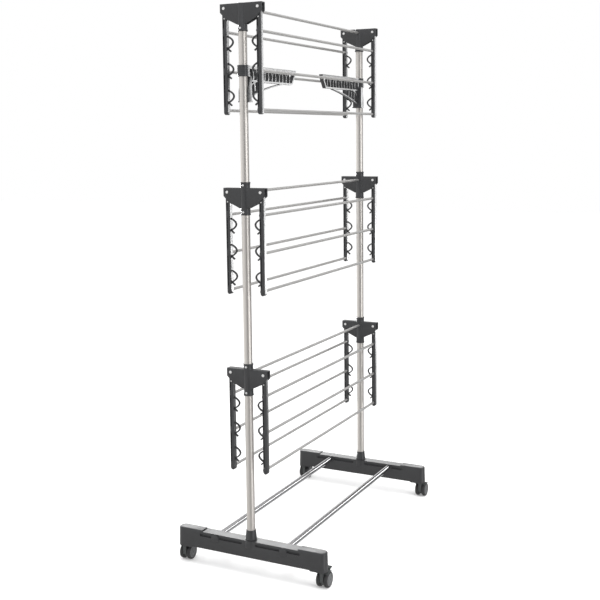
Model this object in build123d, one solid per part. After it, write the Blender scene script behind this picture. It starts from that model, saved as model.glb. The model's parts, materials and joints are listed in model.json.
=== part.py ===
from build123d import *
import os
from math import cos, radians, sin

# Clothes drying rack: two uprights on wheeled feet, three tiers of folding wings.
# Millimetres. +X runs from the left upright to the right one, +Y to the back, +Z up.
# The origin is on the floor, midway between the uprights.

# Driving dimensions
UPRIGHT_SPACING = 840.0
TIER_TOPS = (636.0, 1174.0, 1700.0)
UPRIGHT_R = 12.5
UPRIGHT_WALL = 0.8
SOCKET_GAP = 0.1
RUNNING_GAP = 0.06

# Tier brackets
SLEEVE_R = 14.3
SLEEVE_BELOW = 79.0
SLEEVE_ABOVE = 17.0
SLEEVE_LIP = 1.0
SLEEVE_LIP_H = 4.5
CHEEK_HALF_Y = 68.0
CHEEK_SIDE_H = 24.0
CHEEK_CHAMFER = 18.0
CHEEK_POINT_Y = 14.0
CHEEK_POINT_H = 59.0
CHEEK_IN = 7.0
CHEEK_OUT = 10.5
CHEEK_WALL = 3.0
END_WALL_Y = 43.0
STOP_WEB = 4.0
STOP_DEPTH = 34.0

# Wings
PIVOT_Y = 55.5
PIVOT_DEPTH = 12.5
PIN_R = 2.5
PIN_HEAD_R = 4.5
PIN_HEAD_H = 2.0
ARM_Y = 56.0
ARM_WIDTH = 14.0
ARM_THICK = 13.0
ARM_END_R = 7.5
ARM_LENGTH = 315.0
WING_ROD_DEPTHS = (79.0, 191.0, 302.0)
WING_ROD_Y = 54.0
ROD_R = 4.25
ROD_WALL = 0.5
ROD_SEAT = 5.5
ROD_BOSS_R = 6.8
ROD_BOSS_H = 1.0
GROOVE_WIDTH = 4.6
GROOVE_DEPTH = 4.0
GROOVE_LIP = 1.2
GROOVE_START = 44.0
GROOVE_MARGIN = 10.0
RIVET_BELOW_PIVOT = 28.5
RIVET_R = 2.6
RIVET_H = 1.2

# Hanger hooks on the wing arms
HOOK_DEPTHS = (92.0, 169.0, 246.0)
HOOK_REACH = 19.0
HOOK_HEIGHT = 33.0
HOOK_WIRE = 4.4
HOOK_THICK = 5.0
HOOK_WAIST = 0.44
HOOK_ROOT = 2.0
SPUR_REACH = 10.0
SPUR_DROP = 9.0

# Fixed centre rods
CENTRE_ROD_DEPTH = 12.5
CENTRE_ROD_R = 4.25
CENTRE_ROD_SEAT = 1.4

# Collar screws
SCREW_HEAD_R = 3.4
SCREW_HEAD_H = 1.8
SCREW_HEAD_SINK = 0.5
SCREW_SHANK_R = 1.6
SCREW_SHANK_L = 1.5
HEAD_ROUND = 0.6
SCREW_LOW_DEPTH = 70.5
SCREW_HIGH = 8.0

# Feet
FOOT_HALF_LENGTH = 255.0
FOOT_HALF_WIDTH = 19.0
FOOT_BOTTOM = 57.0
FOOT_END_BOTTOM = 54.0
FOOT_TOP = 113.0
FOOT_MID_TOP = 109.5
FOOT_MID_HALF = 166.0
FOOT_END_PAD = 205.0
FOOT_TAPER = 1.6
FOOT_EDGE = 4.5
FOOT_ROOF = 4.5
FOOT_GROOVE_LOW = 95.0
FOOT_GROOVE_HIGH = 102.5
FOOT_GROOVE_DEPTH = 5.0
FOOT_DRAFT_IN = 1.3
FOOT_CORNER = 17.0
FOOT_GROOVES = ((23.0, 104.5), (131.5, 172.0))
FOOT_POCKETS = ((24.0, 102.0), (134.0, 214.0))
POCKET_HALF_WIDTH = 11.5
CENTRE_BOSS_R = 21.0
CENTRE_BOSS_LOW = 86.0
UPRIGHT_SEAT = 64.0

# Base collars and tubes
COLLAR_TOP = 140.0
COLLAR_TOP_R = 14.6
COLLAR_FOOT_R = 18.0
COLLAR_FLANGE_H = 4.0
COLLAR_STEP = 0.8
BASE_TUBE_Y = 118.0
BASE_TUBE_Z = 97.5
BASE_TUBE_R = 9.5
BASE_TUBE_WALL = 0.8
BASE_TUBE_SEAT = 12.0
TUBE_BOSS_R = 12.4
TUBE_BOSS_H = 1.4
TUBE_BOSS_DROP = 1.0

# Hanger arms
HANGER_TOP = 1526.0
HANGER_RING_H = 32.0
HANGER_RING_R = 17.0
HANGER_RIBS = 5
HANGER_RIB_CUT = 1.2
HANGER_BOTTOM = 1421.0
HANGER_CLIP_HALF_Y = 16.0
HANGER_CLIP_IN = 21.0
HANGER_CLIP_OUT = -1.0
HANGER_CLIP_GAP = 0.3
HANGER_CLIP_SLOPE = 45.0
HANGER_FLANGE_H = 3.0
HANGER_FLANGE_REACH = 2.0
HANGER_LENGTH = 322.0
HANGER_RAIL_H = 9.0
HANGER_RAIL_HALF_Y = 6.5
HANGER_COMB_HALF_Y = 5.0
HANGER_COMB_TOP = HANGER_TOP - HANGER_RAIL_H
HANGER_COMB_BOTTOM = 1481.0
HANGER_LOW_RAIL_H = 5.0
HANGER_LOW_RAIL_END = 296.0
HANGER_NOSE = 8.0
HANGER_POST_IN = 15.0
HANGER_POST_OUT = 26.0
HANGER_LOW_RAIL_IN = 18.0
HANGER_PITCH = 46.0
HANGER_FIRST = 50.0
HANGER_SLOTS = 5
HANGER_BAR = 3.2
HANGER_BRACE_BAR = 4.0
DIVIDER_POINTS = ((-4.0, 0.03), (1.0, 0.46), (-7.0, 1.03))
FORK_POINTS = ((1.0, 0.44), (11.0, 1.03))
LOWER_BRACE = ((236.0, 0.0), (128.0, -19.0), (36.0, -43.0), (17.0, -49.0))
UPPER_BRACE = ((68.0, 1.0), (37.0, -12.0), (20.0, -36.0))
BRACE_STRUTS = ((102.0, 26.5), (79.0, 32.5), (56.0, 38.0))
STRUT_LEAN = 3.0

# Casters
CASTER_Y = 238.0
CASTER_TRAIL = 15.0
WHEEL_R = 24.0
WHEEL_INNER = 6.0
WHEEL_OUTER = 18.5
WHEEL_EDGE = 2.5
HUB_R = 15.0
HUB_RECESS = 1.2
AXLE_R = 3.0
WEB_HALF = 5.5
WEB_R = 18.5
WEB_UNDERSIDE = 4.0
STEM_WALL = 4.0
HUB_CAP_R = 11.0
LINK_DROP = 3.0
STEM_R = 3.5
STEM_LOW = 26.0
STEM_HIGH = 92.0
FLANGE_R = 12.0
FLANGE_LOW = 51.1
FLANGE_HIGH = 53.3
HOOD_GAP = 0.9
HOOD_WALL = 1.6
HOOD_SPREAD = 38.0
LEVER_PIVOT_U = 35.5
LEVER_PIVOT_Z = 43.5
LEVER_EAR_R = 3.4
LEVER_PIN_R = 1.5
LEVER_HALF = 8.5
LEVER_SLOT = 5.9
LEVER_EAR_GAP = 0.6
LEVER_LINK = 2.4
LEVER_OUTLINE = ((-2.2, -2.6), (2.6, -2.6), (5.0, 2.5), (15.0, 3.6), (15.0, 7.2), (-2.2, 7.2))

SIDES = {"left": -1, "right": 1}
WINGS = {"front": -1, "back": 1}
HALF_SPACING = UPRIGHT_SPACING / 2
FAR = 2000.0
LAP = 1.0


def save(node, *solids):
    """Write one node as its own STEP file."""
    shape = solids[0] if len(solids) == 1 else Compound(children=list(solids))
    shape.label = node
    export_step(shape, f"parts/{node}.step")


def along_x(radius, x_low, x_high, y, z):
    """A cylinder along X between two x values."""
    middle = (x_low + x_high) / 2
    return Pos(middle, y, z) * Rot(0, 90, 0) * Cylinder(radius, x_high - x_low)


def along_y(radius, x, y_low, y_high, z):
    """A cylinder along Y between two y values."""
    return Pos(x, (y_low + y_high) / 2, z) * Rot(90, 0, 0) * Cylinder(radius, y_high - y_low)


def along_z(radius, x, y, z_low, z_high):
    """A cylinder along Z between two z values."""
    return Pos(x, y, (z_low + z_high) / 2) * Cylinder(radius, z_high - z_low)


def block(low, high):
    """A box from its lowest corner to its highest corner."""
    size = [b - a for a, b in zip(low, high)]
    centre = [(a + b) / 2 for a, b in zip(low, high)]
    return Pos(*centre) * Box(*size)


def tube_x(radius, wall, x_low, x_high, y, z):
    """A hollow tube along X."""
    return along_x(radius, x_low, x_high, y, z) - along_x(radius - wall, x_low, x_high, y, z)


def plate_yz(points, x_low, x_high):
    """A plate with an outline in Y and Z, between two x values."""
    face = make_face(Polyline(*[(y, z) for y, z in points], close=True))
    frame = Plane(origin=(x_low, 0, 0), x_dir=(0, 1, 0), z_dir=(1, 0, 0))
    return extrude(frame * face, amount=x_high - x_low)


def plate_xz(sketch, half_y):
    """A plate with an outline in X and Z, centred on Y = 0."""
    frame = Plane(origin=(0, half_y, 0), x_dir=(1, 0, 0), z_dir=(0, -1, 0))
    return extrude(frame * sketch, amount=2 * half_y)


# ---- uprights and base ----


def upright(side, low, high):
    """One hollow section of an upright."""
    x = side * HALF_SPACING
    return along_z(UPRIGHT_R, x, 0, low, high) - along_z(UPRIGHT_R - UPRIGHT_WALL, x, 0, low, high)


def build_uprights():
    """Three sections per side, each ending inside a bracket sleeve."""
    stops = [top - STOP_DEPTH for top in TIER_TOPS[:2]]
    lows = [UPRIGHT_SEAT] + [stop + STOP_WEB / 2 for stop in stops]
    highs = [stop - STOP_WEB / 2 for stop in stops] + [TIER_TOPS[2] - STOP_WEB]
    for side_name, side in SIDES.items():
        for section, low, high in zip(("lower", "middle", "upper"), lows, highs):
            save(f"{side_name}_upright_{section}", upright(side, low, high))


def foot_blank():
    """The foot's outside: a long block with rounded ends and raised end pads."""
    outline = RectangleRounded(2 * FOOT_HALF_WIDTH, 2 * FOOT_HALF_LENGTH, FOOT_CORNER)
    height = FOOT_TOP - FOOT_END_BOTTOM
    blank = Pos(0, 0, FOOT_END_BOTTOM) * extrude(outline, amount=height, taper=FOOT_TAPER)
    blank = fillet(blank.faces().sort_by(Axis.Z)[-1].edges(), FOOT_EDGE)
    blank -= block((-FAR, -FOOT_MID_HALF, FOOT_MID_TOP), (FAR, FOOT_MID_HALF, FOOT_TOP + LAP))
    blank -= block((-FAR, -FOOT_END_PAD, 0), (FAR, FOOT_END_PAD, FOOT_BOTTOM))
    return blank


def foot_bosses():
    """Raised rounds on both faces: one under the upright and one at each base tube."""
    centre = along_z(CENTRE_BOSS_R, 0, 0, CENTRE_BOSS_LOW, FOOT_MID_TOP)
    reach = FOOT_HALF_WIDTH + TUBE_BOSS_H
    height = BASE_TUBE_Z - TUBE_BOSS_DROP
    tubes = [along_x(TUBE_BOSS_R, -reach, reach, y, height) for y in (-BASE_TUBE_Y, BASE_TUBE_Y)]
    return [centre] + tubes


def foot_cuts(side):
    """Grooves, underside pockets and sockets, about the foot's own upright."""
    cuts = []
    for sign in (-1, 1):
        for low, high in FOOT_POCKETS:
            ends = sorted((sign * low, sign * high))
            top = FOOT_MID_TOP - FOOT_ROOF
            cuts.append(block((-POCKET_HALF_WIDTH, ends[0], 0), (POCKET_HALF_WIDTH, ends[1], top)))
        for low, high in FOOT_GROOVES:
            ends = sorted((sign * low, sign * high))
            for face in (-1, 1):
                floor = FOOT_HALF_WIDTH - FOOT_DRAFT_IN - FOOT_GROOVE_DEPTH
                walls = sorted((face * floor, face * FAR))
                low_corner = (walls[0], ends[0], FOOT_GROOVE_LOW)
                cuts.append(block(low_corner, (walls[1], ends[1], FOOT_GROOVE_HIGH)))
        seat = sorted((side * BASE_TUBE_SEAT, -side * FAR))
        cuts.append(along_x(BASE_TUBE_R + SOCKET_GAP, seat[0], seat[1], sign * BASE_TUBE_Y, BASE_TUBE_Z))
        cuts.append(along_z(STEM_R, 0, sign * CASTER_Y, 0, STEM_HIGH))
    cuts.append(along_z(UPRIGHT_R + SOCKET_GAP, 0, 0, UPRIGHT_SEAT, FAR))
    return cuts


def build_feet():
    """One foot under each upright."""
    for side_name, side in SIDES.items():
        foot = foot_blank() + foot_bosses() - foot_cuts(side)
        save(f"{side_name}_foot", Pos(side * HALF_SPACING, 0, 0) * foot)


def build_base_collars():
    """Tapered collars where the uprights enter the feet."""
    for side_name, side in SIDES.items():
        flange = along_z(COLLAR_FOOT_R, 0, 0, FOOT_MID_TOP, FOOT_MID_TOP + COLLAR_FLANGE_H)
        cone_low = FOOT_MID_TOP + COLLAR_FLANGE_H
        height = COLLAR_TOP - cone_low
        cone = Pos(0, 0, cone_low + height / 2) * Cone(COLLAR_FOOT_R - COLLAR_STEP, COLLAR_TOP_R, height)
        collar = flange + cone - along_z(UPRIGHT_R + SOCKET_GAP, 0, 0, 0, FAR)
        save(f"{side_name}_base_collar", Pos(side * HALF_SPACING, 0, 0) * collar)


def build_base_tubes():
    """Two tubes tie the feet together."""
    reach = HALF_SPACING + BASE_TUBE_SEAT
    for name, sign in WINGS.items():
        tube = tube_x(BASE_TUBE_R, BASE_TUBE_WALL, -reach, reach, sign * BASE_TUBE_Y, BASE_TUBE_Z)
        save(f"{name}_base_tube", tube)


# ---- tier brackets ----


def cheek_outline(top):
    """Outline of a bracket cheek: square shoulders, chamfered corners, a V below."""
    shoulder = top - CHEEK_SIDE_H
    knee_y = CHEEK_HALF_Y - CHEEK_CHAMFER
    right = [
        (CHEEK_HALF_Y, top),
        (CHEEK_HALF_Y, shoulder),
        (knee_y, shoulder - CHEEK_CHAMFER),
        (CHEEK_POINT_Y, top - CHEEK_POINT_H),
    ]
    return right + [(-y, z) for y, z in reversed(right)]


def sleeve(top, above):
    """The round sleeve of a bracket, with a lip at each open end."""
    low = top - SLEEVE_BELOW
    body = along_z(SLEEVE_R, 0, 0, low, top + above)
    body += along_z(SLEEVE_R + SLEEVE_LIP, 0, 0, low, low + SLEEVE_LIP_H)
    if above:
        body += along_z(SLEEVE_R + SLEEVE_LIP, 0, 0, top + above - SLEEVE_LIP_H, top + above)
    return body


def sleeve_bores(top, above):
    """Sockets for the uprights, with a stop between them, or a closed top."""
    radius = UPRIGHT_R + SOCKET_GAP
    if not above:
        return [along_z(radius, 0, 0, 0, top - STOP_WEB)]
    stop = top - STOP_DEPTH
    return [
        along_z(radius, 0, 0, 0, stop - STOP_WEB / 2),
        along_z(radius, 0, 0, stop + STOP_WEB / 2, FAR),
    ]


def screw_heights(top, above):
    """Heights of the screws on one bracket."""
    heights = [top - SCREW_LOW_DEPTH]
    if above:
        heights.append(top + SCREW_HIGH)
    return heights


def bracket(side, top, above):
    """One bracket: sleeve, two cheeks, a roof and two end walls, about its own upright."""
    outline = cheek_outline(top)
    body = plate_yz(outline, CHEEK_IN, CHEEK_OUT) + plate_yz(outline, -CHEEK_OUT, -CHEEK_IN)
    roof_low = top - CHEEK_WALL
    body += block((-CHEEK_OUT, -CHEEK_HALF_Y, roof_low), (CHEEK_OUT, CHEEK_HALF_Y, top))
    wall_low = top - CHEEK_SIDE_H - CHEEK_CHAMFER
    for sign in (-1, 1):
        ends = sorted((sign * END_WALL_Y, sign * (END_WALL_Y - CHEEK_WALL)))
        body += block((-CHEEK_OUT, ends[0], wall_low), (CHEEK_OUT, ends[1], top))
    body += sleeve(top, above)
    body -= sleeve_bores(top, above)
    for sign in (-1, 1):
        body -= along_x(PIN_R, -FAR, FAR, sign * PIVOT_Y, top - PIVOT_DEPTH)
    inner = sorted((-side * (SLEEVE_R - CENTRE_ROD_SEAT), -side * FAR))
    body -= along_x(CENTRE_ROD_R + SOCKET_GAP, inner[0], inner[1], 0, top - CENTRE_ROD_DEPTH)
    for z in screw_heights(top, above):
        outer = sorted((side * UPRIGHT_R, side * FAR))
        body -= along_x(SCREW_SHANK_R, outer[0], outer[1], 0, z)
    return Pos(side * HALF_SPACING, 0, 0) * body


def tier_above(index):
    """How far the sleeve stands above the cheeks; the top bracket is flush."""
    return SLEEVE_ABOVE if index < len(TIER_TOPS) - 1 else 0.0


def build_brackets():
    """Six brackets."""
    for index, top in enumerate(TIER_TOPS):
        for side_name, side in SIDES.items():
            save(f"tier{index + 1}_{side_name}_bracket", bracket(side, top, tier_above(index)))


def build_centre_rods():
    """One fixed rod per tier between the sleeves."""
    reach = HALF_SPACING - SLEEVE_R + CENTRE_ROD_SEAT
    rods = [tube_x(CENTRE_ROD_R, ROD_WALL, -reach, reach, 0, top - CENTRE_ROD_DEPTH) for top in TIER_TOPS]
    save("centre_rods", *rods)


def pivot_pin(x, y, z):
    """A pin with a domed head on each side of a bracket."""
    pin = along_x(PIN_R, x - CHEEK_OUT, x + CHEEK_OUT, y, z)
    for sign in (-1, 1):
        ends = sorted((x + sign * CHEEK_OUT, x + sign * (CHEEK_OUT + PIN_HEAD_H)))
        head = along_x(PIN_HEAD_R, ends[0], ends[1], y, z)
        rim = head.faces().sort_by(Axis.X)[0 if sign < 0 else -1].edges()
        pin += fillet(rim, PIN_HEAD_H * HEAD_ROUND)
    return pin


def build_pivot_pins():
    """Twelve wing pins, two in each bracket."""
    pins = [
        pivot_pin(side * HALF_SPACING, sign * PIVOT_Y, top - PIVOT_DEPTH)
        for top in TIER_TOPS
        for side in SIDES.values()
        for sign in WINGS.values()
    ]
    save("wing_pivot_pins", *pins)


def collar_screw(side, z):
    """A round-head screw on the outward face of a sleeve."""
    face = side * (HALF_SPACING + SLEEVE_R)
    shank_ends = sorted((face - side * SCREW_SHANK_L, face))
    head_ends = sorted((face - side * SCREW_HEAD_SINK, face + side * SCREW_HEAD_H))
    head = along_x(SCREW_HEAD_R, head_ends[0], head_ends[1], 0, z)
    rim = head.faces().sort_by(Axis.X)[0 if side < 0 else -1].edges()
    seat = along_z(SLEEVE_R, side * HALF_SPACING, 0, z - 2 * SCREW_HEAD_R, z + 2 * SCREW_HEAD_R)
    head = fillet(rim, SCREW_HEAD_H * HEAD_ROUND) - seat
    return head + along_x(SCREW_SHANK_R, shank_ends[0], shank_ends[1], 0, z)


def build_collar_screws():
    """Two screws on each lower bracket and one on each top bracket."""
    screws = [
        collar_screw(side, z)
        for index, top in enumerate(TIER_TOPS)
        for side in SIDES.values()
        for z in screw_heights(top, tier_above(index))
    ]
    save("collar_screws", *screws)


# ---- wings ----


def arm_blank(top):
    """A wing arm at the back, about its upright's x: a bar with round ends."""
    pivot_z = top - PIVOT_DEPTH
    tip_z = top - ARM_LENGTH + ARM_WIDTH / 2
    half_x = ARM_THICK / 2
    low = (-half_x, ARM_Y - ARM_WIDTH / 2, tip_z)
    bar = block(low, (half_x, ARM_Y + ARM_WIDTH / 2, pivot_z))
    bar += along_x(ARM_WIDTH / 2, -half_x, half_x, ARM_Y, tip_z)
    bar += along_x(ARM_END_R, -half_x, half_x, PIVOT_Y, pivot_z)
    return bar


def arm_grooves(top):
    """Grooves along both faces, broken at each rod boss."""
    stops = [GROOVE_START - GROOVE_MARGIN, *WING_ROD_DEPTHS]
    cuts = []
    for above, below in zip(stops, stops[1:]):
        high = top - above - GROOVE_MARGIN
        low = top - below + GROOVE_MARGIN
        for face in (-1, 1):
            walls = sorted((face * (ARM_THICK / 2 - GROOVE_DEPTH), face * FAR))
            outer = ARM_Y - face * (ARM_WIDTH / 2 - GROOVE_LIP)
            ends = sorted((outer, outer + face * GROOVE_WIDTH))
            cuts.append(block((walls[0], ends[0], low), (walls[1], ends[1], high)))
    return cuts


def wing_arm(side, top):
    """A back wing arm, with rod bosses outside and rod sockets inside."""
    arm = arm_blank(top) - arm_grooves(top)
    half_x = ARM_THICK / 2
    for depth in WING_ROD_DEPTHS:
        boss = sorted((side * half_x, side * (half_x + ROD_BOSS_H)))
        arm += along_x(ROD_BOSS_R, boss[0], boss[1], ARM_Y - LAP, top - depth)
        seat = sorted((-side * (half_x - ROD_SEAT), -side * FAR))
        arm -= along_x(ROD_R, seat[0], seat[1], WING_ROD_Y, top - depth)
    rivet_z = top - PIVOT_DEPTH - RIVET_BELOW_PIVOT
    reach = half_x + RIVET_H
    arm += along_x(RIVET_R, -reach, reach, PIVOT_Y, rivet_z)
    arm -= along_x(PIN_R + RUNNING_GAP, -FAR, FAR, PIVOT_Y, top - PIVOT_DEPTH)
    return Pos(side * HALF_SPACING, 0, 0) * arm


def hanger_hook(x, top, depth):
    """A closed loop on a back wing arm's inner face, with a spur below it."""
    face_y = ARM_Y - ARM_WIDTH / 2
    high = top - depth
    low = high - HOOK_HEIGHT
    root_y = face_y + HOOK_ROOT
    bulge = (face_y - HOOK_REACH + HOOK_WIRE / 2, high - HOOK_HEIGHT * HOOK_WAIST)
    loop = Spline((root_y, high + HOOK_ROOT), bulge, (root_y, low - LAP))
    spur = Line((face_y + LAP, low), (face_y - SPUR_REACH, low - SPUR_DROP))
    profile = trace(loop, HOOK_WIRE) + trace(spur, HOOK_WIRE)
    frame = Plane(origin=(x - HOOK_THICK / 2, 0, 0), x_dir=(0, 1, 0), z_dir=(1, 0, 0))
    hook = extrude(frame * profile, amount=HOOK_THICK)
    return hook & block((-FAR, 0, 0), (FAR, face_y, FAR))


def build_wings():
    """Six wings, each two arms, three rods and six hooks; the front ones are mirrored."""
    rod_reach = HALF_SPACING - ARM_THICK / 2 + ROD_SEAT
    for index, top in enumerate(TIER_TOPS):
        rods = [
            tube_x(ROD_R, ROD_WALL, -rod_reach, rod_reach, WING_ROD_Y, top - depth)
            for depth in WING_ROD_DEPTHS
        ]
        hooks = [
            solid
            for side in SIDES.values()
            for depth in HOOK_DEPTHS
            for solid in hanger_hook(side * HALF_SPACING, top, depth).solids()
        ]
        for wing, sign in WINGS.items():
            name = f"tier{index + 1}_{wing}"
            turn = Rot(0, 0, 0 if sign > 0 else 180)
            for side_name, side in SIDES.items():
                save(f"{name}_{side_name}_arm", turn * wing_arm(side * sign, top))
            save(f"{name}_rods", *[turn * rod for rod in rods])
            save(f"{name}_hooks", *[turn * hook for hook in hooks])


# ---- hanger arms ----


def hanger_ring():
    """The ribbed ring around the upright."""
    low = HANGER_TOP - HANGER_RING_H
    ring = along_z(HANGER_RING_R, 0, 0, low, HANGER_TOP)
    step = HANGER_RING_H / HANGER_RIBS
    for index in range(1, HANGER_RIBS):
        z = low + index * step
        inner = HANGER_RING_R - HANGER_RIB_CUT
        gap = HANGER_RIB_CUT / 2
        ring -= along_z(FAR, 0, 0, z - gap, z + gap) - along_z(inner, 0, 0, z - gap, z + gap)
    return ring


def hanger_clip():
    """The open clip that grips the upright below the ring."""
    high = HANGER_TOP - HANGER_RING_H
    low_corner = (HANGER_CLIP_OUT, -HANGER_CLIP_HALF_Y, HANGER_BOTTOM)
    clip = block(low_corner, (HANGER_CLIP_IN, HANGER_CLIP_HALF_Y, high))
    slope = Polyline(
        (HANGER_CLIP_OUT - LAP, high + LAP),
        (UPRIGHT_R - LAP, high + LAP),
        (HANGER_CLIP_OUT - LAP, high - HANGER_CLIP_SLOPE),
        close=True,
    )
    reach = HANGER_CLIP_HALF_Y + HANGER_FLANGE_REACH
    clip -= plate_xz(make_face(slope), reach)
    flange_low = (HANGER_CLIP_OUT, -reach, HANGER_BOTTOM)
    flange_high = (HANGER_CLIP_IN + LAP, reach, HANGER_BOTTOM + HANGER_FLANGE_H)
    return clip + block(flange_low, flange_high)


def comb_line(u, points):
    """Points of the comb: distance from u, and share of the comb's height."""
    height = HANGER_COMB_TOP - HANGER_COMB_BOTTOM
    return [(u + du, HANGER_COMB_BOTTOM + share * height) for du, share in points]


def comb_divider(u, forked):
    """A curved bar of the comb, forked at its top on every other place."""
    bar = trace(Spline(*comb_line(u, DIVIDER_POINTS)), HANGER_BAR)
    if forked:
        bar += trace(Line(*comb_line(u, FORK_POINTS)), HANGER_BAR)
    return bar


def hanger_comb():
    """The comb between the rails."""
    sketch = Sketch()
    for index in range(2 * HANGER_SLOTS + 1):
        u = HANGER_FIRST + index * HANGER_PITCH / 2
        sketch += comb_divider(u, index % 2 == 1)
    return plate_xz(sketch, HANGER_COMB_HALF_Y)


def hanger_brace():
    """Two curved braces from the lower rail down to the clip, with struts between them."""
    sketch = Sketch()
    for points in (LOWER_BRACE, UPPER_BRACE):
        curve = Spline(*[(u, HANGER_COMB_BOTTOM + rise) for u, rise in points])
        sketch += trace(curve, HANGER_BRACE_BAR)
    for u, drop in BRACE_STRUTS:
        foot = (u + STRUT_LEAN, HANGER_COMB_BOTTOM - drop)
        sketch += trace(Line((u, HANGER_COMB_BOTTOM + LAP), foot), HANGER_BAR)
    return plate_xz(sketch, HANGER_COMB_HALF_Y)


def hanger_rails():
    """The rails above and below the comb, the post at its root and the slanted nose."""
    half = HANGER_RAIL_HALF_Y
    low_rail_top = HANGER_COMB_BOTTOM + HANGER_LOW_RAIL_H
    rails = block((HANGER_POST_IN, -half, HANGER_COMB_TOP), (HANGER_LENGTH, half, HANGER_TOP))
    low_corner = (HANGER_LOW_RAIL_IN, -half, HANGER_COMB_BOTTOM)
    rails += block(low_corner, (HANGER_LOW_RAIL_END, half, low_rail_top))
    rails += block((HANGER_POST_IN, -half, HANGER_COMB_BOTTOM), (HANGER_POST_OUT, half, HANGER_TOP))
    nose = Polyline(
        (HANGER_LENGTH, HANGER_COMB_TOP + LAP),
        (HANGER_LENGTH - HANGER_NOSE, HANGER_COMB_TOP + LAP),
        (HANGER_LOW_RAIL_END - HANGER_NOSE, HANGER_COMB_BOTTOM),
        (HANGER_LOW_RAIL_END, HANGER_COMB_BOTTOM),
        close=True,
    )
    return rails + plate_xz(make_face(nose), half)


def hanger_arm(side):
    """One hanger arm, pointing from its upright towards the other."""
    arm = hanger_rails() + hanger_comb() + hanger_brace() + hanger_ring() + hanger_clip()
    ring_low = HANGER_TOP - HANGER_RING_H
    arm -= along_z(UPRIGHT_R + RUNNING_GAP, 0, 0, ring_low - LAP, FAR)
    arm -= along_z(UPRIGHT_R + HANGER_CLIP_GAP, 0, 0, 0, ring_low)
    return Pos(side * HALF_SPACING, 0, 0) * Rot(0, 0, 0 if side < 0 else 180) * arm


def build_hanger_arms():
    """Two hanger arms."""
    for side_name, side in SIDES.items():
        save(f"{side_name}_hanger_arm", hanger_arm(side))


# ---- casters, modelled about the stem with the wheels trailing to +X ----


def caster_web():
    """The wall between the wheels, around the axle and the stem."""
    web = along_y(WEB_R, CASTER_TRAIL, -WEB_HALF, WEB_HALF, WHEEL_R)
    low_corner = (-STEM_R - STEM_WALL, -WEB_HALF, WHEEL_R - WEB_UNDERSIDE)
    return web + block(low_corner, (CASTER_TRAIL, WEB_HALF, FLANGE_HIGH))


def caster_hood():
    """A thin fender over the tops of both wheels."""
    inner = WHEEL_R + HOOD_GAP
    ring = along_y(inner + HOOD_WALL, CASTER_TRAIL, -WHEEL_OUTER, WHEEL_OUTER, WHEEL_R)
    ring -= along_y(inner, CASTER_TRAIL, -FAR, FAR, WHEEL_R)
    reach = (inner + HOOD_WALL) * 2
    spread = reach * sin(radians(HOOD_SPREAD))
    rise = reach * cos(radians(HOOD_SPREAD))
    sector = Polyline(
        (CASTER_TRAIL, WHEEL_R),
        (CASTER_TRAIL + spread, WHEEL_R + rise),
        (CASTER_TRAIL - spread, WHEEL_R + rise),
        close=True,
    )
    return ring & plate_xz(make_face(sector), FAR)


def lever_ear():
    """The ear that the brake lever turns on."""
    ear = along_y(LEVER_EAR_R, LEVER_PIVOT_U, -WEB_HALF, WEB_HALF, LEVER_PIVOT_Z)
    link = Polyline(
        (CASTER_TRAIL, WHEEL_R),
        (LEVER_PIVOT_U + LEVER_LINK, LEVER_PIVOT_Z - LEVER_LINK),
        (LEVER_PIVOT_U - LEVER_LINK, LEVER_PIVOT_Z + LEVER_LINK),
        (CASTER_TRAIL, FLANGE_HIGH - LINK_DROP),
        close=True,
    )
    ear += plate_xz(make_face(link), WEB_HALF)
    return ear - along_y(LEVER_PIN_R + RUNNING_GAP, LEVER_PIVOT_U, -FAR, FAR, LEVER_PIVOT_Z)


def caster_housing(braked):
    """A caster's body: web, flange and hood, with an ear where it has a brake."""
    body = caster_web() + caster_hood()
    body += along_z(FLANGE_R, 0, 0, FLANGE_LOW, FLANGE_HIGH)
    if braked:
        body += lever_ear()
    body -= along_z(STEM_R + RUNNING_GAP, 0, 0, STEM_LOW - LAP, FAR)
    return body - along_y(AXLE_R + RUNNING_GAP, CASTER_TRAIL, -FAR, FAR, WHEEL_R)


def caster_wheel(sign):
    """One wheel with a dished outer face."""
    ends = sorted((sign * WHEEL_INNER, sign * WHEEL_OUTER))
    wheel = along_y(WHEEL_R, CASTER_TRAIL, ends[0], ends[1], WHEEL_R)
    rims = wheel.edges().filter_by(GeomType.CIRCLE)
    wheel = fillet(rims, WHEEL_EDGE)
    dish = sorted((sign * (WHEEL_OUTER - HUB_RECESS), sign * FAR))
    wheel -= along_y(HUB_R, CASTER_TRAIL, dish[0], dish[1], WHEEL_R)
    cap = sorted((sign * (WHEEL_OUTER - HUB_RECESS), sign * WHEEL_OUTER))
    wheel += along_y(HUB_CAP_R, CASTER_TRAIL, cap[0], cap[1], WHEEL_R)
    axle_end = WHEEL_OUTER - 2 * HUB_RECESS
    return wheel - along_y(AXLE_R, CASTER_TRAIL, -axle_end, axle_end, WHEEL_R)


def caster_axle():
    """The axle through both wheels."""
    reach = WHEEL_OUTER - 2 * HUB_RECESS
    return along_y(AXLE_R, CASTER_TRAIL, -reach, reach, WHEEL_R)


def brake_lever():
    """The brake pedal, which straddles its ear on the housing."""
    outline = Polyline(*[(LEVER_PIVOT_U + u, LEVER_PIVOT_Z + z) for u, z in LEVER_OUTLINE], close=True)
    lever = plate_xz(make_face(outline), LEVER_HALF)
    ear_room = LEVER_EAR_R + LEVER_EAR_GAP
    slot = along_y(ear_room, LEVER_PIVOT_U, -LEVER_SLOT, LEVER_SLOT, LEVER_PIVOT_Z)
    slot += block((0, -LEVER_SLOT, 0), (LEVER_PIVOT_U + ear_room, LEVER_SLOT, LEVER_PIVOT_Z))
    return lever - slot + along_y(LEVER_PIN_R, LEVER_PIVOT_U, -LEVER_SLOT, LEVER_SLOT, LEVER_PIVOT_Z)


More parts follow.
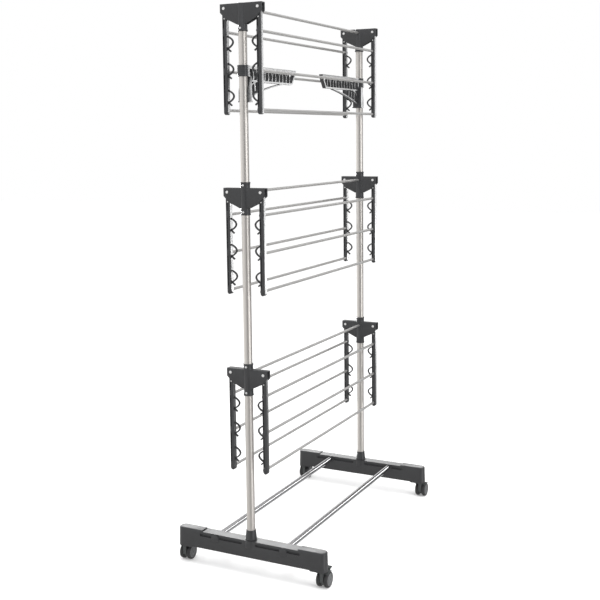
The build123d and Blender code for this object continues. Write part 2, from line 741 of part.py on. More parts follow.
def build_casters():
    """A caster under each end of each foot; the left ones have brakes."""
    stems = []
    for side_name, side in SIDES.items():
        for wing, sign in WINGS.items():
            place = Pos(side * HALF_SPACING, sign * CASTER_Y, 0)
            name = f"{side_name}_{wing}_caster"
            save(f"{name}_housing", place * caster_housing(side < 0))
            save(f"{name}_wheels", place * caster_wheel(-1), place * caster_wheel(1), place * caster_axle())
            if side < 0:
                save(f"{side_name}_{wing}_brake_lever", place * brake_lever())
            stems.append(place * along_z(STEM_R, 0, 0, STEM_LOW, STEM_HIGH))
    save("caster_stems", *stems)


os.makedirs("parts", exist_ok=True)
build_uprights()
build_feet()
build_base_collars()
build_base_tubes()
build_brackets()
build_centre_rods()
build_pivot_pins()
build_collar_screws()
build_wings()
build_hanger_arms()
build_casters()
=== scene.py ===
"""Finishes, small parts and stage for a three-tier clothes drying rack on casters."""

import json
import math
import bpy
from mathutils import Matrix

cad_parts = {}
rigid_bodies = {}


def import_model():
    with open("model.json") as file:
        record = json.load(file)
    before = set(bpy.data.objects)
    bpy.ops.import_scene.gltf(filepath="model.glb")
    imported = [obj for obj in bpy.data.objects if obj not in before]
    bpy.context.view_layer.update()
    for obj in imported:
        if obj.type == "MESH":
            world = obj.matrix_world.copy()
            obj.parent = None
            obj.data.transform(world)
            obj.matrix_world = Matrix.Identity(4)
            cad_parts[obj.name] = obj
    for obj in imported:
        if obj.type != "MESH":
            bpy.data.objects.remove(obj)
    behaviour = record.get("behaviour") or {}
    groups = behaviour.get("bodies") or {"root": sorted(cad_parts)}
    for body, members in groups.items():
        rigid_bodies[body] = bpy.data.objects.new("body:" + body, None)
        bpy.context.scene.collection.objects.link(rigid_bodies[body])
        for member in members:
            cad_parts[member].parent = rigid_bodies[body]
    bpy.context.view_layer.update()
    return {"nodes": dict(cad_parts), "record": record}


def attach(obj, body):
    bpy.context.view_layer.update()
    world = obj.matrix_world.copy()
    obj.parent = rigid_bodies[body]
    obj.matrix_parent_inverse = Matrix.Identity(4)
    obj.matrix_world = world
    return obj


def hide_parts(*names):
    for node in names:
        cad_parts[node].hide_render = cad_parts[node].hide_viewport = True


bl_info = {
    "name": "Clothes drying rack",
    "version": (1, 0, 0),
    "blender": (4, 5, 0),
    "location": "3D View > Sidebar > Drying Rack",
    "description": "Moulded plastic, bright steel and small parts of a clothes drying rack",
    "category": "Object",
}

import bmesh
import bpy
from bpy.props import FloatProperty, FloatVectorProperty, PointerProperty
from bpy.types import Operator, Panel, PropertyGroup
from mathutils import Matrix, Vector

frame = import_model()

NODES = frame["nodes"]
SUBPARTS = frame["record"]["subparts"]
BEHAVIOUR = frame["record"]["behaviour"]
BODY_OF = {node: body for body, nodes in BEHAVIOUR["bodies"].items() for node in nodes}
PIVOTS = {joint["name"]: Vector(joint["pos_m"]) for joint in BEHAVIOUR["joints"]}

MM = 0.001
SIDES = {"left": -1, "right": 1}
WINGS = ("front", "back")
TIERS = (1, 2, 3)
CASTERS = [f"{side}_{wing}" for side in SIDES for wing in WINGS]
ARM_HALF_THICK = 6.5 * MM
SLEEVE_RADIUS = 14.3 * MM
WELD_DISTANCE = 0.005 * MM
FLAT_ANGLE = math.radians(0.6)
CORNER_ANGLE = math.radians(38.0)
MOULDING_SMOOTH = 24.0
WHEEL_SMOOTH = 28.0
HEAD_SMOOTH = 32.0
WHEEL_STEPS = 64
WHITE = (1.0, 1.0, 1.0)

# Strength of the surround that reflections see
PANEL_GLOW = 2.4

# Reflected surround: compass degrees from the camera's side, and brightness
PANELS = (
    (-180, 0.70),
    (-140, 0.60),
    (-89, 0.46),
    (-56, 0.34),
    (-27, 0.30),
    (-17, 0.25),
    (-9, 0.01),
    (27, 0.01),
    (36, 0.20),
    (44, 0.98),
    (72, 0.98),
    (81, 0.08),
    (106, 0.08),
    (122, 0.36),
    (180, 0.70),
)

# The same behind the rack: height of the direction, from -1 to 1, and brightness
SHELVES = (
    (-1.0, 0.14),
    (-0.55, 0.30),
    (-0.42, 0.20),
    (-0.30, 0.14),
    (-0.18, 0.02),
    (-0.04, 0.03),
    (0.06, 0.26),
    (0.20, 0.34),
    (0.33, 0.46),
    (0.38, 0.36),
    (0.42, 0.02),
    (0.50, 0.02),
    (0.56, 0.26),
    (1.0, 0.34),
)

# Ranges, in turns about the upright line, over which the panels give way to the shelves
BEHIND_LEFT = (0.02, 0.06)
BEHIND_RIGHT = (0.79, 0.83)

# Heights over which the panels give way to the ceiling, and depths to the ground
CEILING_SPAN = (0.16, 0.40)
GROUND_SPAN = (0.26, 0.42)
CEILING_TONE = (0.38, 0.38, 0.39)
GROUND_TONE = (0.26, 0.255, 0.25)

# Brightness, glow and drop of the floor
FLOOR_TONE = (0.9, 0.9, 0.9)
FLOOR_ROUGHNESS = 0.9
FLOOR_GLOW = 0.14
FLOOR_DROP = 0.5 * MM

# Lamps: name, place, target, size in metres and watts. One with endings gives only gloss, and
# only to the pieces whose names have those endings.
EDGED = ("bracket_moulding", "collar_moulding", "arm_moulding")
LAMPS = (
    ("key", (-1.6, -4.0, 2.6), (0.0, 0.0, 0.9), (1.6, 2.4), 130.0, ()),
    ("top", (-0.4, -0.4, 4.6), (0.0, 0.0, 0.0), (2.4, 2.4), 90.0, ()),
    ("rim", (3.45, -1.75, 1.35), (0.0, 0.0, 1.1), (2.0, 2.3), 115.0, ("arm_moulding",)),
    ("low_rim", (3.35, -1.70, 0.30), (0.0, 0.0, 0.5), (2.0, 0.5), 80.0, ("arm_moulding",)),
    ("edge", (1.4, 3.4, 1.3), (-0.4, 0.0, 1.0), (0.30, 3.4), 600.0, EDGED),
    ("gleam", (3.3, -1.7, 1.45), (0.0, 0.0, 0.1), (2.2, 0.26), 6.5, ("base_tube",)),
    ("glow", (3.4, 1.75, 2.1), (0.0, 0.0, 0.1), (4.0, 1.1), 110.0, ("foot_moulding",)),
)

# Wheel profile in mm: distance from the caster's middle plane, radius, and 1 where it is tyre
WHEEL_PROFILE = (
    (6.0, 4.0, 0),
    (6.0, 14.0, 0),
    (6.9, 14.8, 1),
    (6.9, 20.6, 1),
    (7.4, 22.6, 1),
    (8.8, 23.8, 1),
    (10.3, 24.0, 1),
    (10.5, 23.5, 1),
    (10.9, 23.5, 1),
    (11.1, 24.0, 1),
    (13.4, 24.0, 1),
    (13.6, 23.5, 1),
    (14.0, 23.5, 1),
    (14.2, 24.0, 1),
    (15.7, 23.8, 1),
    (17.4, 22.6, 1),
    (18.3, 20.9, 1),
    (18.5, 19.3, 1),
    (18.3, 18.5, 1),
    (17.9, 18.2, 0),
    (17.9, 17.4, 0),
    (18.4, 16.9, 0),
    (18.4, 15.5, 0),
    (18.1, 15.0, 0),
    (17.3, 14.6, 0),
    (17.3, 11.6, 0),
    (17.6, 11.1, 0),
    (18.3, 10.8, 0),
    (18.5, 10.1, 0),
    (18.5, 4.6, 0),
    (18.2, 4.1, 0),
    (17.4, 3.9, 0),
    (17.2, 3.0, 0),
)


# ---- node graphs ----


class Value:
    """A socket that adds Math nodes when it is used in a Python expression."""

    def __init__(self, graph, socket):
        self.graph = graph
        self.socket = socket

    def math(self, operation, *others, swap=False):
        values = [self, *others]
        if swap:
            values.reverse()
        inputs = dict(enumerate(values))
        return self.graph.node("ShaderNodeMath", {"operation": operation}, inputs)[0]

    def __add__(self, other):
        return self.math("ADD", other)

    def __sub__(self, other):
        return self.math("SUBTRACT", other)

    def __rsub__(self, other):
        return self.math("SUBTRACT", other, swap=True)

    def __mul__(self, other):
        return self.math("MULTIPLY", other)

    __radd__ = __add__
    __rmul__ = __mul__

    def clamp(self, low, high):
        return self.math("MAXIMUM", low).math("MINIMUM", high)


class Outputs:
    """The outputs of a node, by number or by name."""

    def __init__(self, graph, node):
        self.graph = graph
        self.node = node

    def __getitem__(self, key):
        return Value(self.graph, self.node.outputs[key])


class Graph:
    """A node tree that is built one call per node."""

    def __init__(self, tree):
        self.tree = tree
        self.tree.nodes.clear()

    def node(self, kind, settings=None, inputs=None):
        made = self.tree.nodes.new(kind)
        for name, value in (settings or {}).items():
            if name == "stops":
                self.set_stops(made.color_ramp, value)
            else:
                setattr(made, name, value)
        for key, value in (inputs or {}).items():
            self.feed(made.inputs[key], value)
        return Outputs(self, made)

    def feed(self, socket, value):
        if isinstance(value, Value):
            self.tree.links.new(value.socket, socket)
        else:
            socket.default_value = value

    @staticmethod
    def set_stops(ramp, stops):
        while len(ramp.elements) < len(stops):
            ramp.elements.new(1.0)
        for element, (place, colour) in zip(ramp.elements, stops):
            element.position = place
            element.color = colour


# ---- materials ----


def rgba(colour, gain=1.0):
    """A colour with its brightness scaled, as four numbers."""
    return (*[min(1.0, channel * gain) for channel in colour], 1.0)


def object_space(graph, scale=(1.0, 1.0, 1.0)):
    """Object coordinates in metres, stretched by a scale."""
    place = graph.node("ShaderNodeTexCoord")["Object"]
    return graph.node("ShaderNodeMapping", None, {"Vector": place, "Scale": scale})[0]


def noise(graph, vector, scale, detail, roughness=0.5):
    """Noise between 0 and 1."""
    inputs = {"Vector": vector, "Scale": scale, "Detail": detail, "Roughness": roughness}
    return graph.node("ShaderNodeTexNoise", None, inputs)[0]


def between(graph, factor, low, high):
    """A colour between two colours."""
    settings = {"data_type": "RGBA", "blend_type": "MIX"}
    mixer = graph.node("ShaderNodeMix", settings, {0: factor, 6: low, 7: high})
    return mixer[2]


def mask(graph, value, low, high):
    """A smooth step from 0 to 1 between two values."""
    settings = {"interpolation_type": "SMOOTHSTEP"}
    inputs = {"Value": value, "From Min": low, "From Max": high}
    return graph.node("ShaderNodeMapRange", settings, inputs)[0]


def bump(graph, height, distance, strength):
    """A Bump node for a height field."""
    inputs = {"Height": height, "Distance": distance, "Strength": strength}
    return graph.node("ShaderNodeBump", None, inputs)[0]


def surface(name, build):
    """A material whose Principled shader gets the inputs that build returns."""
    material = bpy.data.materials.get(name)
    if material is not None:
        return material
    material = bpy.data.materials.new(name)
    material.use_nodes = True
    graph = Graph(material.node_tree)
    shader = graph.node("ShaderNodeBsdfPrincipled", None, build(graph))
    graph.node("ShaderNodeOutputMaterial", None, {"Surface": shader[0]})
    return material


def moulded_plastic(name, colour, grain, gloss):
    """Injection-moulded plastic: a fine spark grain, faint flow marks and rubbed patches."""

    def build(graph):
        place = object_space(graph)
        spark = noise(graph, place, scale=1.0 / (grain * MM), detail=2.0, roughness=0.6)
        flow = noise(graph, object_space(graph, (1.0, 1.0, 0.35)), scale=22.0, detail=3.0)
        patches = noise(graph, place, scale=75.0, detail=4.0, roughness=0.62)
        rubbed = mask(graph, patches, low=0.58, high=0.74)
        tone = (flow * 0.7 + rubbed * 0.3).clamp(0.0, 1.0)
        return {
            "Base Color": between(graph, tone, rgba(colour, gain=0.86), rgba(colour, gain=1.22)),
            "Roughness": flow * 0.10 + spark * 0.08 - rubbed * 0.07 + (gloss - 0.09),
            "Specular IOR Level": 0.5,
            "Normal": bump(graph, spark, distance=0.05 * MM, strength=0.5),
        }

    return surface(name, build)


def drawn_steel(name, colour, axis, polish, hairline):
    """Bright steel tube: hairlines along its length and soft polishing clouds."""
    across, along = 520.0, 6.0
    stretch = [across, across, across]
    stretch["XYZ".index(axis)] = along

    def build(graph):
        lines = object_space(graph, stretch)
        hairlines = noise(graph, lines, scale=1.0, detail=3.0, roughness=0.7)
        clouds = noise(graph, object_space(graph), scale=26.0, detail=4.0, roughness=0.6)
        dust = noise(graph, object_space(graph), scale=420.0, detail=1.0)
        specks = mask(graph, dust, low=0.70, high=0.80)
        tone = (hairlines * 0.5 + clouds * 0.5).clamp(0.0, 1.0)
        return {
            "Base Color": between(graph, tone, rgba(colour, gain=0.92), rgba(colour, gain=1.06)),
            "Metallic": 1.0,
            "Roughness": hairlines * 0.06 + clouds * 0.04 + specks * 0.08 + (polish - 0.05),
            "Normal": bump(graph, hairlines, distance=hairline * MM, strength=0.35),
        }

    return surface(name, build)


def bright_plating(name, colour, polish):
    """Chromium or zinc plating: a mirror with faint ripple and fine haze."""

    def build(graph):
        place = object_space(graph)
        ripple = noise(graph, place, scale=60.0, detail=1.0)
        haze = noise(graph, place, scale=240.0, detail=3.0, roughness=0.6)
        return {
            "Base Color": between(graph, haze, rgba(colour, gain=0.95), rgba(colour, gain=1.05)),
            "Metallic": 1.0,
            "Roughness": haze * 0.06 + (polish - 0.03),
            "Normal": bump(graph, ripple, distance=0.02 * MM, strength=0.25),
        }

    return surface(name, build)


# ---- mesh tools ----


def place_piece(piece, body, slot, *replaced):
    """Hand a finished piece to the frame."""
    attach(piece, body)
    if replaced:
        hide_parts(*replaced)
    return piece


def new_object(name, mesh):
    """A new object in the scene, at the origin."""
    made = bpy.data.objects.new(name, mesh)
    bpy.context.scene.collection.objects.link(made)
    return made


def settle(piece, smooth_degrees):
    """Turn a piece with modifiers into plain mesh, smooth except at its sharp edges."""
    bpy.context.view_layer.update()
    evaluated = piece.evaluated_get(bpy.context.evaluated_depsgraph_get())
    mesh = bpy.data.meshes.new_from_object(evaluated)
    mesh.name = piece.name
    piece.modifiers.clear()
    piece.data = mesh
    mesh.shade_smooth()
    mesh.set_sharp_from_angle(angle=math.radians(smooth_degrees))
    return piece


def welded_copy(node, name, dissolve):
    """A copy of a node's mesh with its corners joined and, if asked, its flats made whole."""
    source = NODES[node].data
    mesh = bpy.data.meshes.new(name)
    corners = [vertex.co[:] for vertex in source.vertices]
    mesh.from_pydata(corners, [], [face.vertices[:] for face in source.polygons])
    work = bmesh.new()
    work.from_mesh(mesh)
    bmesh.ops.remove_doubles(work, verts=work.verts, dist=WELD_DISTANCE)
    if dissolve:
        bmesh.ops.dissolve_limit(
            work, angle_limit=FLAT_ANGLE, verts=work.verts, edges=work.edges)
        bmesh.ops.connect_verts_concave(work, faces=work.faces)
    work.to_mesh(mesh)
    work.free()
    return new_object(name, mesh)


def rounded_copy(node, name, edge, material, slot, dissolve=True):
    """A moulded node with its sharp edges rounded, standing for the node.

    A comb with many windows keeps its triangles, because its flats are too intricate to join.
    """
    piece = welded_copy(node, name, dissolve)
    rounding = piece.modifiers.new("edges", "BEVEL")
    rounding.width = edge
    rounding.segments = 2
    rounding.limit_method = "ANGLE"
    rounding.angle_limit = CORNER_ANGLE
    rounding.miter_outer = "MITER_ARC"
    rounding.use_clamp_overlap = True
    settle(piece, MOULDING_SMOOTH)
    piece.data.materials.append(material)
    return place_piece(piece, BODY_OF[node], slot, node)


def turned_wheel(name, axle, outward, materials):
    """Half of a twin wheel: its profile turned about an axle along Y."""
    rings = []
    mesh = bmesh.new()
    for depth, radius, _ in WHEEL_PROFILE:
        ring = []
        for step in range(WHEEL_STEPS):
            turn = math.tau * step / WHEEL_STEPS
            offset = Vector((radius * math.cos(turn), outward * depth, radius * math.sin(turn)))
            ring.append(mesh.verts.new(axle + offset * MM))
        rings.append(ring)
    for (lower, upper), (_, _, tyre) in zip(zip(rings, rings[1:]), WHEEL_PROFILE[1:]):
        for step in range(WHEEL_STEPS):
            after = (step + 1) % WHEEL_STEPS
            face = mesh.faces.new((lower[step], lower[after], upper[after], upper[step]))
            face.material_index = tyre
    for ring in (rings[0], rings[-1]):
        mesh.faces.new(ring).material_index = 0
    bmesh.ops.recalc_face_normals(mesh, faces=mesh.faces)
    data = bpy.data.meshes.new(name)
    mesh.to_mesh(data)
    mesh.free()
    for material in materials:
        data.materials.append(material)
    data.shade_smooth()
    data.set_sharp_from_angle(angle=math.radians(WHEEL_SMOOTH))
    return new_object(name, data)


def joined(name, pieces):
    """One object from several that share their materials."""
    mesh = bmesh.new()
    for piece in pieces:
        mesh.from_mesh(piece.data)
    first = pieces[0].data
    mesh.to_mesh(first)
    mesh.free()
    first.name = name
    whole = new_object(name, first)
    for piece in pieces:
        bpy.data.objects.remove(piece)
    return whole


def heads_tree():
    """A tree that sets a domed head on every point, with a cross recess if asked."""
    tree = bpy.data.node_groups.get("domed heads")
    if tree is not None:
        return tree
    tree = bpy.data.node_groups.new("domed heads", "GeometryNodeTree")
    kinds = {
        "Points": "Geometry",
        "Radius": "Float",
        "Height": "Float",
        "Cross": "Bool",
        "Finish": "Material",
    }
    for label, kind in kinds.items():
        tree.interface.new_socket(label, in_out="INPUT", socket_type=f"NodeSocket{kind}")
    tree.interface.new_socket("Heads", in_out="OUTPUT", socket_type="NodeSocketGeometry")
    graph = Graph(tree)
    given = graph.node("NodeGroupInput")
    radius, height = given["Radius"], given["Height"]
    round_form = {"Segments": 28, "Rings": 14, "Radius": 1.0}
    ball = graph.node("GeometryNodeMeshUVSphere", None, round_form)[0]
    size = graph.node("ShaderNodeCombineXYZ", None, {0: radius, 1: radius, 2: height})[0]
    dome = graph.node("GeometryNodeTransform", None, {"Geometry": ball, "Scale": size})[0]
    lift = graph.node("ShaderNodeCombineXYZ", None, {2: height})[0]
    bars = graph.node("GeometryNodeJoinGeometry")
    slot_length, slot_width = 1.15, 0.24
    for long, wide in ((slot_length, slot_width), (slot_width, slot_length)):
        sides = {0: radius * long, 1: radius * wide, 2: height}
        bar = graph.node("ShaderNodeCombineXYZ", None, sides)[0]
        cube = graph.node("GeometryNodeMeshCube", None, {"Size": bar})[0]
        placing = {"Geometry": cube, "Translation": lift}
        moved = graph.node("GeometryNodeTransform", None, placing)[0]
        graph.feed(bars.node.inputs[0], moved)
    meshes = {"Mesh 1": dome, "Mesh 2": bars[0]}
    cut = graph.node("GeometryNodeMeshBoolean", {"operation": "DIFFERENCE"}, meshes)[0]
    inputs = {"Switch": given["Cross"], "False": dome, "True": cut}
    head = graph.node("GeometryNodeSwitch", {"input_type": "GEOMETRY"}, inputs)[0]
    vector = {"data_type": "FLOAT_VECTOR"}
    facing = graph.node("GeometryNodeInputNamedAttribute", vector, {"Name": "facing"})[0]
    turn = graph.node("FunctionNodeAlignRotationToVector", {"axis": "Z"}, {"Vector": facing})[0]
    placed = {"Points": given["Points"], "Instance": head, "Rotation": turn}
    spread = graph.node("GeometryNodeInstanceOnPoints", None, placed)[0]
    real = graph.node("GeometryNodeRealizeInstances", None, {"Geometry": spread})[0]
    coat = {"Geometry": real, "Material": given["Finish"]}
    coated = graph.node("GeometryNodeSetMaterial", None, coat)[0]
    graph.node("NodeGroupOutput", None, {"Heads": coated})
    return tree


def domed_heads(name, places, radius, height, cross, finish):
    """Domed heads at places, each given as a point and the way that it faces."""
    mesh = bpy.data.meshes.new(name)
    mesh.from_pydata([point for point, _ in places], [], [])
    facing = mesh.attributes.new("facing", "FLOAT_VECTOR", "POINT")
    for item, (_, outward) in zip(facing.data, places):
        item.vector = outward
    piece = new_object(name, mesh)
    tree = heads_tree()
    modifier = piece.modifiers.new("heads", "NODES")
    modifier.node_group = tree
    values = {"Radius": radius, "Height": height, "Cross": cross, "Finish": finish}
    for item in tree.interface.items_tree:
        if item.in_out == "INPUT" and item.name in values:
            modifier[item.identifier] = values[item.name]
    return settle(piece, HEAD_SMOOTH)


# ---- sizes and colours ----


class RackFinishes(PropertyGroup):
    """Colours of the rack's finishes."""

    plastic: FloatVectorProperty(
        name="Frame plastic", description="Colour of the moulded brackets, arms and feet",
        default=(0.026, 0.0265, 0.028), subtype="COLOR", min=0.0, max=1.0)
    caster: FloatVectorProperty(
        name="Caster plastic", description="Colour of the caster housings and brake pedals",
        default=(0.020, 0.0205, 0.0215), subtype="COLOR", min=0.0, max=1.0)
    wheel: FloatVectorProperty(
        name="Wheel", description="Colour of the wheel hubs",
        default=(0.105, 0.107, 0.110), subtype="COLOR", min=0.0, max=1.0)
    upright: FloatVectorProperty(
        name="Upright steel", description="Tint of the uprights",
        default=(0.68, 0.65, 0.61), subtype="COLOR", min=0.0, max=1.0)
    rod: FloatVectorProperty(
        name="Rod steel", description="Tint of the rods",
        default=(0.56, 0.555, 0.55), subtype="COLOR", min=0.0, max=1.0)
    chrome: FloatVectorProperty(
        name="Chrome", description="Tint of the base tubes",
        default=(0.90, 0.90, 0.905), subtype="COLOR", min=0.0, max=1.0)
    zinc: FloatVectorProperty(
        name="Zinc", description="Tint of the screws, pins and rivets",
        default=(0.90, 0.90, 0.89), subtype="COLOR", min=0.0, max=1.0)
    tyre: FloatVectorProperty(
        name="Tyre", description="Colour of the wheels' treads",
        default=(0.022, 0.022, 0.023), subtype="COLOR", min=0.0, max=1.0)


class RackSizes(PropertyGroup):
    """Rounded edges, and the sizes and places of the screws and rivets."""

    foot_edge: FloatProperty(
        name="Foot edge", description="Width of the rounding on the feet",
        default=1.0 * MM, min=0.0, unit="LENGTH")
    frame_edge: FloatProperty(
        name="Frame edge", description="Width of the rounding on the brackets and arms",
        default=0.5 * MM, min=0.0, unit="LENGTH")
    caster_edge: FloatProperty(
        name="Caster edge", description="Width of the rounding on the caster housings",
        default=0.4 * MM, min=0.0, unit="LENGTH")
    screw_radius: FloatProperty(
        name="Screw radius", description="Radius of a collar screw's head",
        default=3.4 * MM, min=0.0, unit="LENGTH")
    screw_height: FloatProperty(
        name="Screw height", description="Height of a collar screw's head",
        default=1.8 * MM, min=0.0, unit="LENGTH")
    screw_low: FloatProperty(
        name="Low screw", description="Height of the lower screws from the wing pivots",
        default=-58.0 * MM, unit="LENGTH")
    screw_high: FloatProperty(
        name="High screw", description="Height of the upper screws from the wing pivots",
        default=20.5 * MM, unit="LENGTH")
    rivet_radius: FloatProperty(
        name="Rivet radius", description="Radius of a rivet's cap",
        default=2.2 * MM, min=0.0, unit="LENGTH")
    rivet_height: FloatProperty(
        name="Rivet height", description="Height of a rivet's cap",
        default=0.9 * MM, min=0.0, unit="LENGTH")
    rivet_drop: FloatProperty(
        name="Rivet drop", description="Distance of the rivets below the wing pivots",
        default=28.5 * MM, min=0.0, unit="LENGTH")
    rivet_stand: FloatProperty(
        name="Rivet stand", description="Distance of a rivet's cap from the face of the arm",
        default=1.1 * MM, min=0.0, unit="LENGTH")


class RackStage(PropertyGroup):
    """The camera, lights and floor."""

    lens: FloatProperty(
        name="Lens", description="Focal length of the camera",
        default=60.15, min=10.0, unit="CAMERA")
    eye: FloatVectorProperty(
        name="Eye", description="Where the camera stands",
        default=(-2.9575, -1.4551, 1.3214), subtype="TRANSLATION")
    azimuth: FloatProperty(
        name="Azimuth", description="Side that the camera looks from",
        default=math.radians(-63.25), subtype="ANGLE")
    elevation: FloatProperty(
        name="Elevation", description="Height that the camera looks from",
        default=math.radians(6.75), subtype="ANGLE")
    roll: FloatProperty(
        name="Roll", description="Turn about the line of sight",
        default=math.radians(-0.62), subtype="ANGLE")
    rise: FloatProperty(
        name="Rise", description="Vertical shift of the picture, in picture widths",
        default=-0.075, min=-0.5, max=0.5)
    floor: FloatProperty(
        name="Floor", description="Half width of the floor",
        default=14.0, min=3.0, unit="LENGTH")


def finishes():
    """The colours set in the scene."""
    return bpy.context.scene.rack_finishes


def zinc():
    """The plating of the screws, pins and rivets."""
    return bright_plating("zinc_plate", finishes().zinc, polish=0.36)


# ---- operators ----


class RACK_OT_steel(Operator):
    """Give the tubes and rods their steel"""

    bl_idname = "rack.steel"
    bl_label = "Tubes and rods"

    def execute(self, context):
        tint = finishes()
        coats = {
            "upright_steel": drawn_steel(
                "upright_steel", tint.upright, "Z", polish=0.08, hairline=0.006),
            "rod_steel": drawn_steel("rod_steel", tint.rod, "X", polish=0.07, hairline=0.002),
            "base_chrome": bright_plating("base_chrome", tint.chrome, polish=0.05),
            "fastener_steel": zinc(),
        }
        for part in SUBPARTS:
            coat = coats.get(part["material_slot"])
            if coat is not None:
                node = NODES[part["node"]]
                node.data.materials.clear()
                node.data.materials.append(coat)
        return {"FINISHED"}


class RACK_OT_mouldings(Operator):
    """Round the moulded parts of the frame"""

    bl_idname = "rack.mouldings"
    bl_label = "Moulded parts"

    def execute(self, context):
        sizes = context.scene.rack_sizes
        coat = moulded_plastic("charcoal_plastic", finishes().plastic, grain=0.9, gloss=0.36)
        for part in SUBPARTS:
            node, slot = part["node"], part["material_slot"]
            if slot == "frame_plastic":
                edge = sizes.foot_edge if node.endswith("_foot") else sizes.frame_edge
                comb = node.endswith("hanger_arm")
                rounded_copy(node, f"{node}_moulding", edge, coat, slot, dissolve=not comb)
        return {"FINISHED"}


class RACK_OT_casters(Operator):
    """Finish the casters"""

    bl_idname = "rack.casters"
    bl_label = "Casters"

    def execute(self, context):
        edge = context.scene.rack_sizes.caster_edge
        body = moulded_plastic("caster_plastic", finishes().caster, grain=0.7, gloss=0.38)
        hub = moulded_plastic("wheel_hub", finishes().wheel, grain=0.8, gloss=0.40)
        tyre = moulded_plastic("wheel_tyre", finishes().tyre, grain=0.5, gloss=0.55)
        for part in SUBPARTS:
            node, slot = part["node"], part["material_slot"]
            if slot == "caster_plastic":
                rounded_copy(node, f"{node}_moulding", edge, body, slot)
        for caster in CASTERS:
            node = f"{caster}_caster_wheels"
            axle = PIVOTS[f"{caster}_wheels_roll"]
            halves = [
                turned_wheel(f"{caster}_half_{way}", axle, way, (hub, tyre)) for way in (-1, 1)]
            wheels = joined(f"{caster}_twin_wheels", halves)
            place_piece(wheels, BODY_OF[node], "wheel_plastic", node)
        return {"FINISHED"}


class RACK_OT_fasteners(Operator):
    """Set the collar screws and the rivets of the arms"""

    bl_idname = "rack.fasteners"
    bl_label = "Screws and rivets"

    def execute(self, context):
        sizes = context.scene.rack_sizes
        places = self.screw_places(sizes)
        radius, height = sizes.screw_radius, sizes.screw_height
        heads = domed_heads("collar_screw_heads", places, radius, height, True, zinc())
        place_piece(heads, "root", "fastener_steel", "collar_screws")
        radius, height = sizes.rivet_radius, sizes.rivet_height
        for tier in TIERS:
            for wing in WINGS:
                name = f"tier{tier}_{wing}"
                places = self.rivet_places(PIVOTS[f"{name}_wing_fold"], sizes)
                caps = domed_heads(f"{name}_rivets", places, radius, height, False, zinc())
                place_piece(caps, f"{name}_wing", "fastener_steel")
        return {"FINISHED"}

    @staticmethod
    def screw_places(sizes):
        """Two screws on the outward side of each sleeve, and one on those of the top tier."""
        reach = abs(PIVOTS["right_hanger_swing"].x) + SLEEVE_RADIUS
        low = Vector((0.0, 0.0, sizes.screw_low))
        high = Vector((0.0, 0.0, sizes.screw_high))
        places = []
        for tier in TIERS:
            height = PIVOTS[f"tier{tier}_back_wing_fold"].z
            for way in SIDES.values():
                face = Vector((way * reach, 0.0, height))
                outward = Vector((way, 0.0, 0.0))
                places.append((face + low, outward))
                if tier < max(TIERS):
                    places.append((face + high, outward))
        return places

    @staticmethod
    def rivet_places(pivot, sizes):
        """A rivet on both faces of each arm of a wing."""
        reach = ARM_HALF_THICK + sizes.rivet_stand
        places = []
        for side in SIDES:
            across = PIVOTS[f"{side}_hanger_swing"].x
            arm = Vector((across, pivot.y, pivot.z - sizes.rivet_drop))
            for face in (-1, 1):
                outward = Vector((face, 0.0, 0.0))
                places.append((arm + outward * reach, outward))
        return places


def soft_light(name, place, target, size, power):
    """A rectangular softbox that faces a point."""
    data = bpy.data.lights.new(name, "AREA")
    data.shape = "RECTANGLE"
    data.size, data.size_y = size
    data.energy = power
    lamp = new_object(name, data)
    lamp.location = place
    lamp.rotation_mode = "QUATERNION"
    lamp.visible_glossy = False
    lamp.rotation_quaternion = (Vector(target) - Vector(place)).to_track_quat("-Z", "Y")
    return lamp


def angle_about_camera(graph, stage):
    """The compass angle of a world direction in turns, with the camera's side at a half."""
    direction = graph.node("ShaderNodeTexCoord")["Generated"]
    towards = Vector((math.sin(stage.azimuth), -math.cos(stage.azimuth), 0.0))
    rightwards = Vector((-towards.y, towards.x, 0.0))
    dots = []
    for axis in (rightwards, towards):
        settings = {"operation": "DOT_PRODUCT"}
        inputs = {0: direction, 1: axis}
        dots.append(graph.node("ShaderNodeVectorMath", settings, inputs)["Value"])
    return dots[0].math("ARCTAN2", dots[1]) * (0.5 / math.pi) + 0.5


def grey_ramp(graph, factor, steps):
    """A ramp of greys, each at its distance from the middle of the ramp."""
    stops = [(0.5 + offset, rgba((glow, glow, glow))) for offset, glow in steps]
    return graph.node("ShaderNodeValToRGB", {"stops": stops}, {"Fac": factor})["Color"]


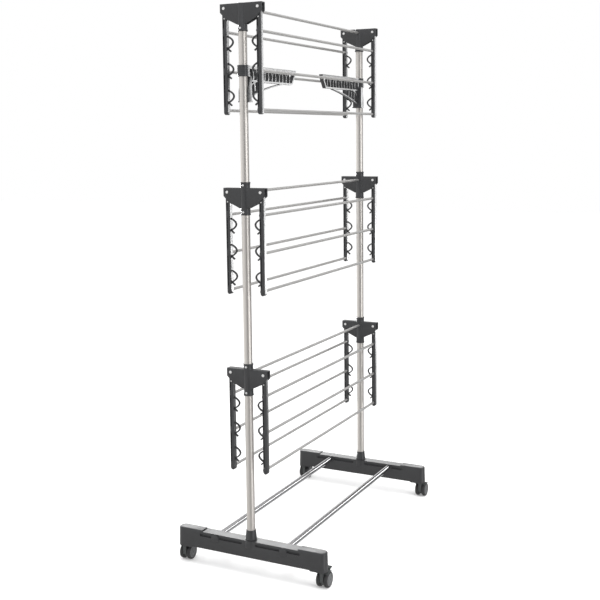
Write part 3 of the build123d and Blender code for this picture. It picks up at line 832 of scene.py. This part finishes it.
def studio_world(stage):
    """A white surround, with upright panels and dark gaps that only reflections see."""
    world = bpy.data.worlds.new("studio")
    bpy.context.scene.world = world
    world.use_nodes = True
    graph = Graph(world.node_tree)
    rays = graph.node("ShaderNodeLightPath")
    turn = angle_about_camera(graph, stage)
    panels = grey_ramp(graph, turn, [(degrees / 360.0, glow) for degrees, glow in PANELS])
    direction = graph.node("ShaderNodeTexCoord")["Generated"]
    height = graph.node("ShaderNodeSeparateXYZ", None, {0: direction})["Z"]
    overhead = mask(graph, height, *CEILING_SPAN)
    below = mask(graph, height * -1.0, *GROUND_SPAN)
    room = between(graph, overhead, panels, rgba(CEILING_TONE))
    room = between(graph, below, room, rgba(GROUND_TONE))
    levels = [(level / 2.0, glow) for level, glow in SHELVES]
    shelves = grey_ramp(graph, height * 0.5 + 0.5, levels)
    behind = mask(graph, turn, *BEHIND_RIGHT) + (1.0 - mask(graph, turn, *BEHIND_LEFT))
    room = between(graph, behind.clamp(0.0, 1.0), room, shelves)
    seen = {"Color": room, "Strength": PANEL_GLOW}
    reflected = graph.node("ShaderNodeBackground", None, seen)[0]
    plain = graph.node("ShaderNodeBackground", None, {"Color": rgba(WHITE), "Strength": 1.0})[0]
    shaders = {0: rays["Is Glossy Ray"], 1: plain, 2: reflected}
    both = graph.node("ShaderNodeMixShader", None, shaders)[0]
    graph.node("ShaderNodeOutputWorld", None, {"Surface": both})


class RACK_OT_stage(Operator):
    """Lay the floor and set the camera and lights"""

    bl_idname = "rack.stage"
    bl_label = "Stage"

    def execute(self, context):
        scene = context.scene
        stage = scene.rack_stage
        self.lay_floor(stage.floor)
        studio_world(stage)
        for name, place, target, size, power, endings in LAMPS:
            lamp = soft_light(name, place, target, size, power)
            if endings:
                self.keep_to(lamp, endings)
        scene.view_settings.view_transform = "Standard"
        scene.camera = self.stand_camera(stage)
        return {"FINISHED"}

    @staticmethod
    def lay_floor(half):
        """A white floor that reflections do not see."""
        mesh = bpy.data.meshes.new("floor")
        corners = [(-half, -half), (half, -half), (half, half), (-half, half)]
        mesh.from_pydata([(x, y, -FLOOR_DROP) for x, y in corners], [], [(0, 1, 2, 3)])
        floor = new_object("floor", mesh)
        paper = {
            "Base Color": rgba(FLOOR_TONE),
            "Roughness": FLOOR_ROUGHNESS,
            "Emission Color": rgba(WHITE),
            "Emission Strength": FLOOR_GLOW,
        }
        mesh.materials.append(surface("floor", lambda graph: paper))
        floor.visible_glossy = False

    @staticmethod
    def stand_camera(stage):
        """The camera, turned by its compass side, its height and its roll."""
        data = bpy.data.cameras.new("camera")
        data.lens = stage.lens
        data.shift_y = stage.rise
        camera = new_object("camera", data)
        back = Vector((
            math.sin(stage.azimuth) * math.cos(stage.elevation),
            -math.cos(stage.azimuth) * math.cos(stage.elevation),
            math.sin(stage.elevation),
        ))
        right = Vector((0, 0, 1)).cross(back).normalized()
        up = back.cross(right)
        facing = Matrix((right, up, back)).transposed().to_4x4()
        turn = facing @ Matrix.Rotation(stage.roll, 4, "Z")
        camera.matrix_world = Matrix.Translation(Vector(stage.eye)) @ turn
        return camera

    @staticmethod
    def keep_to(lamp, endings):
        """Let a lamp give only gloss, and only to the pieces whose names have these endings."""
        lit = bpy.data.collections.new(f"{lamp.name}_lit")
        for name in list(bpy.data.objects.keys()):
            if name.endswith(endings):
                lit.objects.link(bpy.data.objects[name])
        lamp.light_linking.receiver_collection = lit
        lamp.visible_diffuse = False
        lamp.visible_glossy = True
        lamp.visible_camera = False


class RACK_PT_panel(Panel):
    """The rack's sidebar panel"""

    bl_idname = "RACK_PT_panel"
    bl_label = "Drying Rack"
    bl_space_type = "VIEW_3D"
    bl_region_type = "UI"
    bl_category = "Drying Rack"

    def draw(self, context):
        for operator in OPERATORS:
            self.layout.operator(operator.bl_idname)


OPERATORS = (
    RACK_OT_steel,
    RACK_OT_mouldings,
    RACK_OT_casters,
    RACK_OT_fasteners,
    RACK_OT_stage,
)
CLASSES = (RackFinishes, RackSizes, RackStage, *OPERATORS, RACK_PT_panel)


def register():
    for kind in CLASSES:
        bpy.utils.register_class(kind)
    bpy.types.Scene.rack_finishes = PointerProperty(type=RackFinishes)
    bpy.types.Scene.rack_sizes = PointerProperty(type=RackSizes)
    bpy.types.Scene.rack_stage = PointerProperty(type=RackStage)


def unregister():
    del bpy.types.Scene.rack_stage
    del bpy.types.Scene.rack_sizes
    del bpy.types.Scene.rack_finishes
    for kind in reversed(CLASSES):
        bpy.utils.unregister_class(kind)


def main():
    register()
    for operator in OPERATORS:
        group, name = operator.bl_idname.split(".")
        getattr(getattr(bpy.ops, group), name)()


if __name__ == "__main__":
    main()
